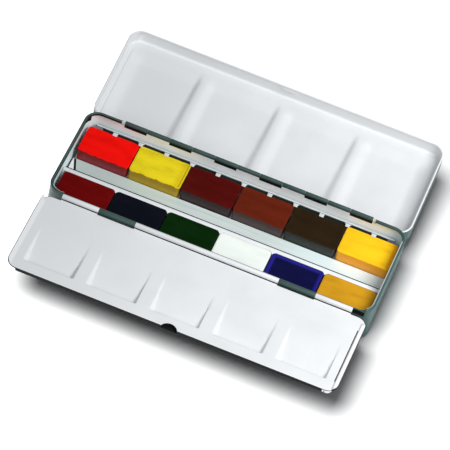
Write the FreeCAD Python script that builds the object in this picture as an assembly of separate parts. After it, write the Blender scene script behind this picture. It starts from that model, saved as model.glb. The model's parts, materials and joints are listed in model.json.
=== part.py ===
"""Metal watercolour box: base tray, hinged lid with mixing wells, fold-out palette flap,
sheet-metal pan holder and twelve full pans of paint.

Frame: millimetres, X along the box, Y towards the lid, Z up.
Origin at the middle of the open box's bounding box in plan, on the face it stands on.
The box is modelled open: the lid leans back and the flap lies out to the front.
"""
import FreeCAD, Part
import os

V = FreeCAD.Vector
X_AXIS = V(1, 0, 0)
Z_AXIS = V(0, 0, 1)

# Driving dimensions, before the whole box is shifted to its origin
SHEET = 0.6                  # tinplate, with its lacquer
LENGTH = 186.6               # base and lid, outside
WIDTH = 64.4
BASE_HEIGHT = 25.0
CORNER_R = 8.0
BOTTOM_R = 2.2
RIM_HEIGHT = 1.6             # rolled rim of the base
RIM_WIDTH = 1.7
RIM_PROUD = 0.2
RIM_ROUND = 0.48

LID_DEPTH = 11.8
LID_HEM = 1.2                # rim of the lid, rolled inwards
LID_HEM_HEIGHT = 1.0
LID_TILT = 7.5               # degrees short of lying flat when it rests open
LID_WELLS = 4
RIDGE_HEIGHT = 4.0
RIDGE_WIDTH = 9.0
RIDGE_TOP = 3.0
RIDGE_NEAR = 3.0             # where a ridge starts and ends, from the hinge side
RIDGE_FAR = 55.0
CATCH_WIDTH = 10.0           # dimple in the lid's far wall that clicks shut
CATCH_DEPTH = 0.5
CATCH_HEIGHT = 3.0
CATCH_DROP = 0.5             # below the rim hem

FLAP_LENGTH = 186.6
FLAP_DEPTH = 56.8            # from the hinge axis to the front edge
FLAP_SHEET = 0.5
FLAP_CORNER_R = 6.0
FLAP_HEM_WIDTH = 2.6
FLAP_HEM_HEIGHT = 1.0
FLAP_LIP = 2.0               # turned down along the front edge
FLAP_FACE_DROP = 0.925       # the flap's upper face below the front axis
FLAP_SETBACK = 0.6           # plate in front of the knuckles
HEM_GAP = 0.15               # between the folded flap's hems and the base's rim
FLAP_WELLS = 5
FLAP_WELL_PITCH = 35.7
FLAP_WELL_WIDTH = 28.0
FLAP_WELL_DEPTH = 2.8
FLAP_WELL_NEAR = 26.0        # from the hinge axis to the shallow end
FLAP_WELL_FAR = 49.4         # to the deep end
NOTCH_WIDTH = 9.0
NOTCH_DEPTH = 3.2

WIRE_R = 0.5
BORE_CLEARANCE = 0.05
KNUCKLE_GAP = 0.2
HINGE_END_GAP = 0.3
SLOT_CLEARANCE = 0.2         # under the knuckles, where the rim is cut away
SLOT_DEPTH = 3.0             # each way across the wall
LEAF_DEPTH = 3.0             # knuckle leaf down the wall
REAR_BARREL_R = 1.15
REAR_AXIS_PROUD = 0.1        # behind the wall's outer face
REAR_AXIS_DROP = 1.35        # below the top of the rim
REAR_KNUCKLES = 11
REAR_HINGE_LENGTH = 145.2
FRONT_BARREL_R = 1.45
FRONT_AXIS_PROUD = 2.0
FRONT_SPLITS = (-83.2, -62.0, -41.2, 41.2, 62.0, 83.2)
FRONT_SLOT_END = 89.6        # the rim stays cut away up to the right corner
STACK_GAP = 1.9              # closed lid's rim above the base's rim, the flap between

PANS_PER_ROW = 6
PAN_PITCH = 30.3
PAN_LENGTH = 29.8
PAN_WIDTH = 19.2
PAN_HEIGHT = 9.5
PAN_WALL = 0.8
PAN_CORNER_R = 2.4
PAN_TOP = 16.0
ROW_OUTER_Y = 27.9           # outer side of each row of pans
CAKE_TOP_GAP = 0.15

HOLDER_SHEET = 0.5
HOLDER_LENGTH = 183.0
HOLDER_OUTER_Y = 30.5        # lifts out past the rolled rim
LEG_INSET = 6.0
LEG_SETBACK = 3.4
CHANNEL_TOP = 8.6
RAIL_TOP = 16.5              # outer rails, with the spring tabs
RAIL_EDGE_Y = 28.7
RAIL_END_INSET = 3.6         # flange's ends in from the holder's ends
RAIL_CHAMFER = 1.5           # clears the tray's rounded corners
TAB_WIDTH = 2.7
PAN_CLEARANCE = 0.15         # between a pan and the holder
MIDDLE_RAIL_Y = -5.4
MIDDLE_RAIL_TOP = 15.9
TOOTH_WIDTH = 2.6
TOOTH_LENGTH = 1.9

REAR_PAINTS = ("bright_red", "lemon_yellow", "crimson", "rust", "dark_brown", "golden_yellow")
FRONT_PAINTS = ("dark_red", "blue_black", "dark_green", "white", "ultramarine", "ochre")

OVERCUT = 1.0                # how far a cutter stands past the face it opens

# Derived places
HALF_LENGTH = LENGTH / 2
HALF_WIDTH = WIDTH / 2
REAR_AXIS_Y = HALF_WIDTH + REAR_AXIS_PROUD
REAR_AXIS_Z = BASE_HEIGHT - REAR_AXIS_DROP
LID_RIM_DROP = BASE_HEIGHT + STACK_GAP - REAR_AXIS_Z
LID_NEAR = REAR_AXIS_Y - HALF_WIDTH
FRONT_AXIS_Y = -(HALF_WIDTH + FRONT_AXIS_PROUD)
FRONT_AXIS_Z = BASE_HEIGHT + HEM_GAP + FLAP_HEM_HEIGHT - FLAP_FACE_DROP
FLAP_TOP = FRONT_AXIS_Z - FLAP_FACE_DROP
FLAP_FRONT_Y = FRONT_AXIS_Y - FLAP_DEPTH
PAN_BOTTOM = PAN_TOP - PAN_HEIGHT


def box(x0, x1, y0, y1, z0, z1):
    return Part.makeBox(x1 - x0, y1 - y0, z1 - z0, V(x0, y0, z0))


def rounded_prism(x0, x1, y0, y1, z0, z1, radius):
    """Upright block with rounded vertical corners."""
    block = box(x0, x1, y0, y1, z0, z1)
    uprights = [e for e in block.Edges if abs(e.tangentAt(0).z) > 0.9]
    return block.makeFillet(radius, uprights)


def edges_at_height(shape, z):
    return [e for e in shape.Edges
            if abs(e.BoundBox.ZMin - z) < 1e-4 and abs(e.BoundBox.ZMax - z) < 1e-4]


def fuse_all(shapes):
    first = shapes[0]
    return first.multiFuse(shapes[1:]).removeSplitter() if len(shapes) > 1 else first


def prism_along_x(points, x0, x1):
    """Closed outline of (y, z) points, drawn out from x0 to x1."""
    wire = Part.makePolygon([V(x0, y, z) for y, z in points] + [V(x0, *points[0])])
    return Part.Face(wire).extrude(V(x1 - x0, 0, 0))


def barrel(x0, x1, y, z, radius):
    return Part.makeCylinder(radius, x1 - x0, V(x0, y, z), X_AXIS)


def hinge_bore(x0, x1, y, z):
    return barrel(x0, x1, y, z, WIRE_R + BORE_CLEARANCE)


def knuckle_spans(splits, first):
    """Every second span between the splits, from the given one, less the end gaps."""
    spans = list(zip(splits[:-1], splits[1:]))[first::2]
    return [(a + KNUCKLE_GAP / 2, b - KNUCKLE_GAP / 2) for a, b in spans]


def rear_splits():
    step = REAR_HINGE_LENGTH / REAR_KNUCKLES
    return [-REAR_HINGE_LENGTH / 2 + i * step for i in range(REAR_KNUCKLES + 1)]


def make_base_tray():
    outer = rounded_prism(-HALF_LENGTH, HALF_LENGTH, -HALF_WIDTH, HALF_WIDTH,
                          0, BASE_HEIGHT, CORNER_R)
    outer = outer.makeFillet(BOTTOM_R, edges_at_height(outer, 0))
    inner = rounded_prism(-HALF_LENGTH + SHEET, HALF_LENGTH - SHEET,
                          -HALF_WIDTH + SHEET, HALF_WIDTH - SHEET,
                          SHEET, BASE_HEIGHT + OVERCUT, CORNER_R - SHEET)
    inner = inner.makeFillet(BOTTOM_R - SHEET, edges_at_height(inner, SHEET))
    shell = outer.cut(inner)

    rim_bottom = BASE_HEIGHT - RIM_HEIGHT
    reach = RIM_PROUD
    rim = rounded_prism(-HALF_LENGTH - reach, HALF_LENGTH + reach,
                        -HALF_WIDTH - reach, HALF_WIDTH + reach,
                        rim_bottom, BASE_HEIGHT, CORNER_R + reach)
    inset = RIM_WIDTH - RIM_PROUD
    hole = rounded_prism(-HALF_LENGTH + inset, HALF_LENGTH - inset,
                         -HALF_WIDTH + inset, HALF_WIDTH - inset,
                         rim_bottom - OVERCUT, BASE_HEIGHT + OVERCUT, CORNER_R - inset)
    rim = rim.cut(hole)
    rim = rim.makeFillet(RIM_ROUND, edges_at_height(rim, BASE_HEIGHT))
    tray = shell.fuse(rim)

    rear_half = REAR_HINGE_LENGTH / 2 + HINGE_END_GAP
    front_half = FRONT_SPLITS[-1] + HINGE_END_GAP
    rear_slot = box(-rear_half, rear_half, HALF_WIDTH - SLOT_DEPTH, HALF_WIDTH + SLOT_DEPTH,
                    REAR_AXIS_Z - REAR_BARREL_R - SLOT_CLEARANCE, BASE_HEIGHT + OVERCUT)
    front_slot = box(-front_half, FRONT_SLOT_END,
                     -HALF_WIDTH - SLOT_DEPTH, -HALF_WIDTH + SLOT_DEPTH,
                     FRONT_AXIS_Z - FRONT_BARREL_R - SLOT_CLEARANCE, BASE_HEIGHT + OVERCUT)
    tray = tray.cut(rear_slot).cut(front_slot)

    pieces = [tray]
    for x0, x1 in knuckle_spans(rear_splits(), 0):
        pieces.append(barrel(x0, x1, REAR_AXIS_Y, REAR_AXIS_Z, REAR_BARREL_R))
        pieces.append(box(x0, x1, HALF_WIDTH - SHEET, HALF_WIDTH,
                          REAR_AXIS_Z - LEAF_DEPTH, REAR_AXIS_Z))
    leaf_top = FRONT_AXIS_Z - FRONT_BARREL_R + SHEET
    for x0, x1 in knuckle_spans(FRONT_SPLITS, 1):
        pieces.append(barrel(x0, x1, FRONT_AXIS_Y, FRONT_AXIS_Z, FRONT_BARREL_R))
        pieces.append(box(x0, x1, FRONT_AXIS_Y, -HALF_WIDTH + SHEET, leaf_top - SHEET, leaf_top))
        pieces.append(box(x0, x1, -HALF_WIDTH, -HALF_WIDTH + SHEET,
                          leaf_top - LEAF_DEPTH, leaf_top))
    tray = fuse_all(pieces)
    tray = tray.cut(hinge_bore(-rear_half, rear_half, REAR_AXIS_Y, REAR_AXIS_Z))
    return tray.cut(hinge_bore(-front_half, front_half, FRONT_AXIS_Y, FRONT_AXIS_Z))


def ridge(x, bottom, height, width, top, y0, y1):
    """Sloped bar between two wells, drawn out along Y."""
    outline = [V(x - width / 2, y0, bottom), V(x + width / 2, y0, bottom),
               V(x + top / 2, y0, bottom + height), V(x - top / 2, y0, bottom + height)]
    face = Part.Face(Part.makePolygon(outline + outline[:1]))
    return face.extrude(V(0, y1 - y0, 0))


def make_lid_shell():
    """The lid, drawn lying flat open with its hinge axis at the origin, then tilted."""
    y0 = LID_NEAR
    y1 = LID_NEAR + WIDTH
    top = -LID_RIM_DROP
    bottom = top - LID_DEPTH
    outer = rounded_prism(-HALF_LENGTH, HALF_LENGTH, y0, y1, bottom, top, CORNER_R)
    outer = outer.makeFillet(BOTTOM_R, edges_at_height(outer, bottom))
    inner = rounded_prism(-HALF_LENGTH + SHEET, HALF_LENGTH - SHEET, y0 + SHEET, y1 - SHEET,
                          bottom + SHEET, top + OVERCUT, CORNER_R - SHEET)
    inner = inner.makeFillet(BOTTOM_R - SHEET, edges_at_height(inner, bottom + SHEET))
    hem = rounded_prism(-HALF_LENGTH, HALF_LENGTH, y0, y1, top - LID_HEM_HEIGHT, top, CORNER_R)
    hem = hem.cut(rounded_prism(-HALF_LENGTH + LID_HEM, HALF_LENGTH - LID_HEM,
                                y0 + LID_HEM, y1 - LID_HEM,
                                top - LID_DEPTH, top + OVERCUT, CORNER_R - LID_HEM))
    shell = outer.cut(inner).fuse(hem)

    pitch = (LENGTH - 2 * SHEET) / LID_WELLS
    for i in range(1, LID_WELLS):
        x = -HALF_LENGTH + SHEET + i * pitch
        shell = shell.fuse(ridge(x, bottom + SHEET / 2, RIDGE_HEIGHT, RIDGE_WIDTH, RIDGE_TOP,
                                 y0 + RIDGE_NEAR, y0 + RIDGE_FAR))
        shell = shell.cut(ridge(x, bottom - SHEET / 2, RIDGE_HEIGHT, RIDGE_WIDTH - SHEET,
                                RIDGE_TOP - SHEET, y0 + RIDGE_NEAR + SHEET,
                                y0 + RIDGE_FAR - SHEET))

    catch_z = top - LID_HEM_HEIGHT - CATCH_HEIGHT / 2 - CATCH_DROP
    catch = box(-CATCH_WIDTH / 2, CATCH_WIDTH / 2, y1 - SHEET - CATCH_DEPTH, y1 - SHEET / 2,
                catch_z - CATCH_HEIGHT / 2, catch_z + CATCH_HEIGHT / 2)
    pieces = [shell, catch]
    for x0, x1 in knuckle_spans(rear_splits(), 1):
        pieces.append(barrel(x0, x1, 0, 0, REAR_BARREL_R))
        pieces.append(box(x0, x1, y0, y0 + SHEET, top - LID_HEM_HEIGHT, 0))
    lid = fuse_all(pieces)
    half = REAR_HINGE_LENGTH / 2 + HINGE_END_GAP
    lid = lid.cut(hinge_bore(-half, half, 0, 0))
    lid.rotate(V(0, 0, 0), X_AXIS, LID_TILT)
    lid.translate(V(0, REAR_AXIS_Y, REAR_AXIS_Z))
    return lid


def flap_well(x):
    """Outer and inner wedge of one sloping well."""
    near = FRONT_AXIS_Y - FLAP_WELL_NEAR
    far = FRONT_AXIS_Y - FLAP_WELL_FAR
    depth = FLAP_WELL_DEPTH
    half = FLAP_WELL_WIDTH / 2
    skin = FLAP_SHEET
    outer = prism_along_x([(near, FLAP_TOP), (near, FLAP_TOP - skin),
                           (far, FLAP_TOP - depth - skin), (far - skin, FLAP_TOP - depth - skin),
                           (far - skin, FLAP_TOP)], x - half - skin, x + half + skin)
    inner = prism_along_x([(near, FLAP_TOP + OVERCUT), (near, FLAP_TOP), (far, FLAP_TOP - depth),
                           (far, FLAP_TOP + OVERCUT)], x - half, x + half)
    return outer, inner


def make_palette_flap():
    half = FLAP_LENGTH / 2
    rear = FRONT_AXIS_Y - FRONT_BARREL_R - FLAP_SETBACK
    plate = rounded_prism(-half, half, FLAP_FRONT_Y, rear, FLAP_TOP - FLAP_SHEET, FLAP_TOP,
                          FLAP_CORNER_R)
    tongue = box(FRONT_SPLITS[0], FRONT_SPLITS[-1], rear - OVERCUT, FRONT_AXIS_Y,
                 FLAP_TOP - FLAP_SHEET, FLAP_TOP)
    hem_ring = rounded_prism(-half, half, FLAP_FRONT_Y, rear, FLAP_TOP - FLAP_SHEET,
                             FLAP_TOP + FLAP_HEM_HEIGHT, FLAP_CORNER_R)
    hem_ring = hem_ring.cut(rounded_prism(
        -half + FLAP_HEM_WIDTH, half - FLAP_HEM_WIDTH,
        FLAP_FRONT_Y - OVERCUT, rear + OVERCUT,
        FLAP_TOP, FLAP_TOP + FLAP_HEM_HEIGHT + OVERCUT, OVERCUT))
    lip = box(-half + FLAP_CORNER_R, half - FLAP_CORNER_R, FLAP_FRONT_Y,
              FLAP_FRONT_Y + FLAP_SHEET, FLAP_TOP - FLAP_LIP, FLAP_TOP)
    pieces = [plate, tongue, hem_ring, lip]
    hollows = []
    for i in range(FLAP_WELLS):
        outer, inner = flap_well((i - (FLAP_WELLS - 1) / 2) * FLAP_WELL_PITCH)
        pieces.append(outer)
        hollows.append(inner)
    for x0, x1 in knuckle_spans(FRONT_SPLITS, 0):
        pieces.append(barrel(x0, x1, FRONT_AXIS_Y, FRONT_AXIS_Z, FRONT_BARREL_R))
    flap = fuse_all(pieces)
    for hollow in hollows:
        flap = flap.cut(hollow)

    # half-moon thumb notch: a circle through the notch's two ends and its deepest point
    notch_r = (NOTCH_WIDTH ** 2 / 4 + NOTCH_DEPTH ** 2) / (2 * NOTCH_DEPTH)
    notch_bottom = FLAP_TOP - FLAP_WELL_DEPTH - FLAP_SHEET - OVERCUT
    notch = Part.makeCylinder(notch_r, FLAP_TOP + OVERCUT - notch_bottom,
                              V(0, FLAP_FRONT_Y + NOTCH_DEPTH - notch_r, notch_bottom), Z_AXIS)
    flap = flap.cut(notch)
    for x0, x1 in knuckle_spans(FRONT_SPLITS, 1):
        flap = flap.cut(box(x0 - KNUCKLE_GAP, x1 + KNUCKLE_GAP, rear + FLAP_SETBACK / 2,
                            FRONT_AXIS_Y + SLOT_DEPTH, FLAP_TOP - SLOT_DEPTH,
                            FRONT_AXIS_Z + SLOT_DEPTH))
    reach = FRONT_SPLITS[-1] + HINGE_END_GAP
    return flap.cut(hinge_bore(-reach, reach, FRONT_AXIS_Y, FRONT_AXIS_Z))


def make_wire(half, y, z):
    return barrel(-half, half, y, z, WIRE_R)


def row_pan_x(i):
    return (i - (PANS_PER_ROW - 1) / 2) * PAN_PITCH


def make_pan(x, y0):
    y1 = y0 + PAN_WIDTH
    x0 = x - PAN_LENGTH / 2
    x1 = x + PAN_LENGTH / 2
    outer = rounded_prism(x0, x1, y0, y1, PAN_BOTTOM, PAN_TOP, PAN_CORNER_R)
    inner = rounded_prism(x0 + PAN_WALL, x1 - PAN_WALL, y0 + PAN_WALL, y1 - PAN_WALL,
                          PAN_BOTTOM + PAN_WALL, PAN_TOP + OVERCUT, PAN_CORNER_R - PAN_WALL)
    return outer.cut(inner)


def make_cake(x, y0):
    return rounded_prism(x - PAN_LENGTH / 2 + PAN_WALL, x + PAN_LENGTH / 2 - PAN_WALL,
                         y0 + PAN_WALL, y0 + PAN_WIDTH - PAN_WALL,
                         PAN_BOTTOM + PAN_WALL, PAN_TOP - CAKE_TOP_GAP,
                         PAN_CORNER_R - PAN_WALL)


def make_holder_tray():
    """Two seats for the rows of pans, with a raised step between and legs to the floor."""
    half = HOLDER_LENGTH / 2
    skin = HOLDER_SHEET
    step_y = ROW_OUTER_Y - PAN_WIDTH - PAN_CLEARANCE
    outer_y = HOLDER_OUTER_Y
    seat_z = PAN_BOTTOM
    pieces = []
    pieces.append(rounded_prism(-half, half, -outer_y, outer_y, seat_z - skin, seat_z,
                                CORNER_R - SHEET))
    for side in (-1, 1):
        y0, y1 = sorted((side * (step_y - skin), side * step_y))
        pieces.append(box(-half + BOTTOM_R, half - BOTTOM_R, y0, y1, SHEET, CHANNEL_TOP - skin))
        leg_y = outer_y - LEG_SETBACK
        y0, y1 = sorted((side * leg_y, side * (leg_y - skin)))
        pieces.append(box(-half + LEG_INSET, half - LEG_INSET, y0, y1, SHEET, seat_z))
    return fuse_all(pieces)


def make_channel_floor():
    half = HOLDER_LENGTH / 2
    step_y = ROW_OUTER_Y - PAN_WIDTH - PAN_CLEARANCE
    return box(-half, half, MIDDLE_RAIL_Y, step_y, CHANNEL_TOP - HOLDER_SHEET, CHANNEL_TOP)


def tab_places():
    count = 2 * PANS_PER_ROW - 1
    return [(i - (count - 1) / 2) * PAN_PITCH / 2 for i in range(count)]


def make_outer_rail(side):
    """Folded rail between a row of pans and the tray wall, with a spring tab to each pan."""
    skin = HOLDER_SHEET
    outer_y = HOLDER_OUTER_Y
    half = HOLDER_LENGTH / 2 - CORNER_R
    reach = HOLDER_LENGTH / 2 - RAIL_END_INSET
    flange = box(-reach, reach, RAIL_EDGE_Y, outer_y, RAIL_TOP - skin, RAIL_TOP)
    corners = [e for e in flange.Edges if abs(e.tangentAt(0).z) > 0.9
               and abs(e.BoundBox.YMin - outer_y) < 1e-4]
    pieces = [box(-half, half, outer_y - skin, outer_y, PAN_BOTTOM, RAIL_TOP),
              flange.makeChamfer(RAIL_CHAMFER, corners)]
    for x in tab_places():
        pieces.append(box(x - TAB_WIDTH / 2, x + TAB_WIDTH / 2, ROW_OUTER_Y + PAN_CLEARANCE,
                          RAIL_EDGE_Y + skin, RAIL_TOP - skin, RAIL_TOP))
    rail = fuse_all(pieces)
    if side < 0:
        rail.rotate(V(0, 0, 0), Z_AXIS, 180)
    return rail


def make_middle_rail():
    """Rail along the inner side of the front row: a wall, a flange and teeth between pans."""
    half = HOLDER_LENGTH / 2
    skin = HOLDER_SHEET
    row_y = -(ROW_OUTER_Y - PAN_WIDTH)
    edge_y = row_y + PAN_CLEARANCE
    wall = box(-half, half, MIDDLE_RAIL_Y - skin, MIDDLE_RAIL_Y, CHANNEL_TOP - skin,
               MIDDLE_RAIL_TOP)
    flange = box(-half, half, edge_y, MIDDLE_RAIL_Y, MIDDLE_RAIL_TOP - skin, MIDDLE_RAIL_TOP)
    pieces = [wall, flange]
    for i in range(PANS_PER_ROW - 1):
        x = (row_pan_x(i) + row_pan_x(i + 1)) / 2
        corners = [V(x - TOOTH_WIDTH / 2, edge_y, 0), V(x + TOOTH_WIDTH / 2, edge_y, 0),
                   V(x, edge_y - TOOTH_LENGTH, 0)]
        tooth = Part.Face(Part.makePolygon(corners + corners[:1])).extrude(V(0, 0, skin))
        tooth.translate(V(0, 0, MIDDLE_RAIL_TOP - skin))
        pieces.append(tooth)
    return fuse_all(pieces)


def build_nodes():
    nodes = {
        "base_tray": make_base_tray(),
        "lid_shell": make_lid_shell(),
        "palette_flap": make_palette_flap(),
        "rear_hinge_wire": make_wire(REAR_HINGE_LENGTH / 2, REAR_AXIS_Y, REAR_AXIS_Z),
        "front_hinge_wire": make_wire(FRONT_SPLITS[-1], FRONT_AXIS_Y, FRONT_AXIS_Z),
        "holder_tray": make_holder_tray(),
        "channel_floor": make_channel_floor(),
        "back_rail": make_outer_rail(1),
        "front_rail": make_outer_rail(-1),
        "middle_rail": make_middle_rail(),
    }
    rows = ((REAR_PAINTS, ROW_OUTER_Y - PAN_WIDTH), (FRONT_PAINTS, -ROW_OUTER_Y))
    for paints, y0 in rows:
        for i, paint in enumerate(paints):
            nodes["pan_" + paint] = make_pan(row_pan_x(i), y0)
            nodes["cake_" + paint] = make_cake(row_pan_x(i), y0)
    return nodes


def main():
    os.makedirs("parts", exist_ok=True)
    nodes = build_nodes()
    outline = [nodes[name] for name in ("base_tray", "lid_shell", "palette_flap")]
    bounds = Part.Compound(outline).optimalBoundingBox(False, False)
    shift = V(-bounds.Center.x, -bounds.Center.y, -bounds.ZMin)
    for name, shape in nodes.items():
        shape.translate(shift)
        shape.exportStep("parts/%s.step" % name)
    print("shift", shift, "size", bounds.XLength, bounds.YLength, bounds.ZLength)
    print("rear axis", REAR_AXIS_Y + shift.y, REAR_AXIS_Z + shift.z)
    print("front axis", FRONT_AXIS_Y + shift.y, FRONT_AXIS_Z + shift.z)
    print("solids", {name: len(shape.Solids) for name, shape in nodes.items()})


main()
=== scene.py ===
"""Looks of the open watercolour box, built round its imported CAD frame.

Shapes are worked out in millimetres beside their own hinge or tray, then placed in the frame.
"""
import json
import math
import bmesh
import bpy
import numpy as np
from mathutils import Matrix, Vector

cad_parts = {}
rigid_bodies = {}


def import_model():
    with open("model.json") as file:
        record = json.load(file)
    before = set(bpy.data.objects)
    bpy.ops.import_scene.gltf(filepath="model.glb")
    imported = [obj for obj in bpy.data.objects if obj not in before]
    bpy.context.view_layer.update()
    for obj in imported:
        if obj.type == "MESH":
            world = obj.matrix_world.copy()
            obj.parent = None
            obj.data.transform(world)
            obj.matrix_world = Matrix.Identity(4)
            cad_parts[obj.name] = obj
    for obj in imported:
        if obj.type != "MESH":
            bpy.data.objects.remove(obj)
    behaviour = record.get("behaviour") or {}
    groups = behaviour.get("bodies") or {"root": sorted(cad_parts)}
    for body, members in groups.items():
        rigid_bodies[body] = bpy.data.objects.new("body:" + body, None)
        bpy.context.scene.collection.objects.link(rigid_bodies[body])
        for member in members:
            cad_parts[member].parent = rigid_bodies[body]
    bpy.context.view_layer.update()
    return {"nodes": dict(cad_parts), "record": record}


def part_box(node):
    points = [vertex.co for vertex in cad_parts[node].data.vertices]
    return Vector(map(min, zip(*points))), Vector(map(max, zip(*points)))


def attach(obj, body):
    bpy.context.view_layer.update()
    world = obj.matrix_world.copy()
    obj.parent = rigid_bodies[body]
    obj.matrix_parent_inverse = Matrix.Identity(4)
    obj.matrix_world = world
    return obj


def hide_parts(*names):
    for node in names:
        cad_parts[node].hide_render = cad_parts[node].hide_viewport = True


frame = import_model()

MM = 0.001
JOINTS = {joint["name"]: joint for joint in frame["record"]["behaviour"]["joints"]}

# Sizes shared with the CAD model, in millimetres
SHEET = 0.6
HALF_LENGTH = 93.3
HALF_WIDTH = 32.2
CORNER_R = 8.0
BOTTOM_R = 2.2
LID_DEPTH = 11.8
LID_TILT = 7.5
LID_NEAR = 0.1  # hinge axis to the lid's near wall
LID_TOP = -3.25  # rim of the open lid below the hinge axis
LID_WELLS = 4
REAR_AXIS_Z = 23.65
REAR_AXIS_PROUD = 0.1
REAR_BARREL_R = 1.15
REAR_KNUCKLES = 11
REAR_HALF = 72.6
FRONT_AXIS_Z = 25.225
FRONT_AXIS_PROUD = 2.0
FRONT_BARREL_R = 1.45
FRONT_SPLITS = (-83.2, -62.0, -41.2, 41.2, 62.0, 83.2)
FLAP_FACE_DROP = 0.925
FLAP_REAR = -2.05  # plate's rear edge, in front of the hinge axis
FLAP_FRONT = -56.8
FLAP_SHEET = 0.5
FLAP_CORNER_R = 6.0
FLAP_WELL_PITCH = 35.7
FLAP_WELL_HALF = 14.0
WIRE_BORE = 0.55
KNUCKLE_GAP = 0.2
PAN_PITCH = 30.3
PAN_HALF_X = 14.9
PAN_HALF_Y = 9.6
PAN_BOTTOM = 6.5
PAN_TOP = 16.0
REAR_PAN_R = 1.5
FRONT_PAN_R = 2.3
ROW_MID_Y = 18.3
RAIL_TOP = 16.5
RAIL_OUTER_Y = 30.5
RAIL_HALF = 87.9
RAIL_WALL_HALF = 83.5
RAIL_CHAMFER = 1.2
HOLDER_HALF = 91.5
MIDDLE_TOP = 15.9
MIDDLE_BACK_Y = -5.4
MIDDLE_EDGE_Y = -8.55
CHANNEL_TOP = 8.6

# Building of the meshes
SHARP = 40.0  # degrees: steeper edges stay sharp
PRESSED_SHARP = 50.0  # the same on the pressed sheets of lid and flap
WELD = 2e-6  # metres
SLIVER = 1e-6
BARREL_SIDES = 36
BARREL_TURN = 0.18  # softly turned edge at a knuckle's ends
CORNER_STEPS = 6  # round a small pressed radius
FOLD_BEVEL = 0.08
# Grid steps of each pressed part: round a corner, along x and along y
BASE_COUNTS = (8, 48, 16)
LID_COUNTS = (16, 150, 52)
FLAP_COUNTS = (20, 300, 84)
PAN_COUNTS = (5, 20, 12)
CAKE_COUNTS = (10, 44, 26)

REAR_PAINTS = ("bright_red", "lemon_yellow", "crimson", "rust", "dark_brown", "golden_yellow")
FRONT_PAINTS = ("dark_red", "blue_black", "dark_green", "white", "ultramarine", "ochre")

holder_low, holder_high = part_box("holder_tray")
BASE_Y = (holder_low[1] + holder_high[1]) / 2 / MM


# ---- places

def axis_of(joint):
    """Where a hinge's axis crosses the frame's middle: y and z."""
    return JOINTS[joint]["pos_m"][1] / MM, JOINTS[joint]["pos_m"][2] / MM


def in_base(p):
    """From the middle of the base tray's underside."""
    return (p[0], p[1] + BASE_Y, p[2])


def in_lid(p):
    """From the lid lying flat with its hinge axis at the origin."""
    y, z = axis_of("lid_hinge")
    c, s = math.cos(math.radians(LID_TILT)), math.sin(math.radians(LID_TILT))
    return (p[0], y + p[1] * c - p[2] * s, z + p[1] * s + p[2] * c)


def in_flap(p):
    """From the flap's hinge axis across, and its upper face up."""
    y, z = axis_of("flap_hinge")
    return (p[0], p[1] + y, p[2] + z - FLAP_FACE_DROP)


# ---- mesh building

def smooth(t):
    """Eases from 0 to 1."""
    t = np.clip(t, 0.0, 1.0)
    return t * t * (3.0 - 2.0 * t)


def after(value, reach):
    """Eases from 0 to 1 after the reach's start, over its length."""
    start, length = reach
    return smooth((value - start) / length)


def before(value, reach):
    """Eases from 1 to 0 before the reach's end, over its length."""
    end, length = reach
    return smooth((end - value) / length)


def stops(half, radius, corner, middle):
    """Grid lines across one side, evenly set in its two corners and between them."""
    bend = np.linspace(0.0, radius, corner + 1)[:-1]
    flat = np.linspace(radius, 2 * half - radius, middle + 1)
    return np.concatenate([bend, flat, 2 * half - bend[::-1]]) - half


def rounded_grid(half_x, half_y, radius, counts, extra_x=()):
    """Grid of (x, y) that fills a rounded rectangle, its corner lines bent round the arcs."""
    corner, nx, ny = counts
    lines_x = np.sort(np.concatenate([stops(half_x, radius, corner, nx), extra_x]))
    x, y = np.meshgrid(lines_x, stops(half_y, radius, corner, ny), indexing="ij")
    past_x = np.abs(x) - (half_x - radius)
    past_y = np.abs(y) - (half_y - radius)
    in_corner = (past_x > 0) & (past_y > 0)
    reach = np.hypot(past_x, past_y)
    pull = np.where(in_corner, np.maximum(past_x, past_y) / np.where(reach > 0, reach, 1), 1)
    x = np.where(in_corner, np.sign(x) * (half_x - radius + past_x * pull), x)
    y = np.where(in_corner, np.sign(y) * (half_y - radius + past_y * pull), y)
    return x, y


def oblong(x0, x1, y0, y1):
    """Corners of a rectangle, in order."""
    return [(x0, y0), (x1, y0), (x1, y1), (x0, y1)]


def points(x, y, z):
    return np.stack(np.broadcast_arrays(x, y, z), axis=-1)


def new_object(name, data):
    made = bpy.data.objects.new(name, data)
    bpy.context.scene.collection.objects.link(made)
    return made


def border(grid):
    """The grid's outer line of values, once round."""
    return np.concatenate([grid[:, 0], grid[-1, 1:], grid[-2::-1, -1], grid[0, -2:0:-1]])


def shade(mesh, sharp=SHARP):
    """Smooths all but the sharp edges."""
    mesh.shade_smooth()
    mesh.set_sharp_from_angle(angle=math.radians(sharp))


def band(n):
    """Faces between two closed rings of n points."""
    return [(i, (i + 1) % n, n + (i + 1) % n, n + i) for i in range(n)]


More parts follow.
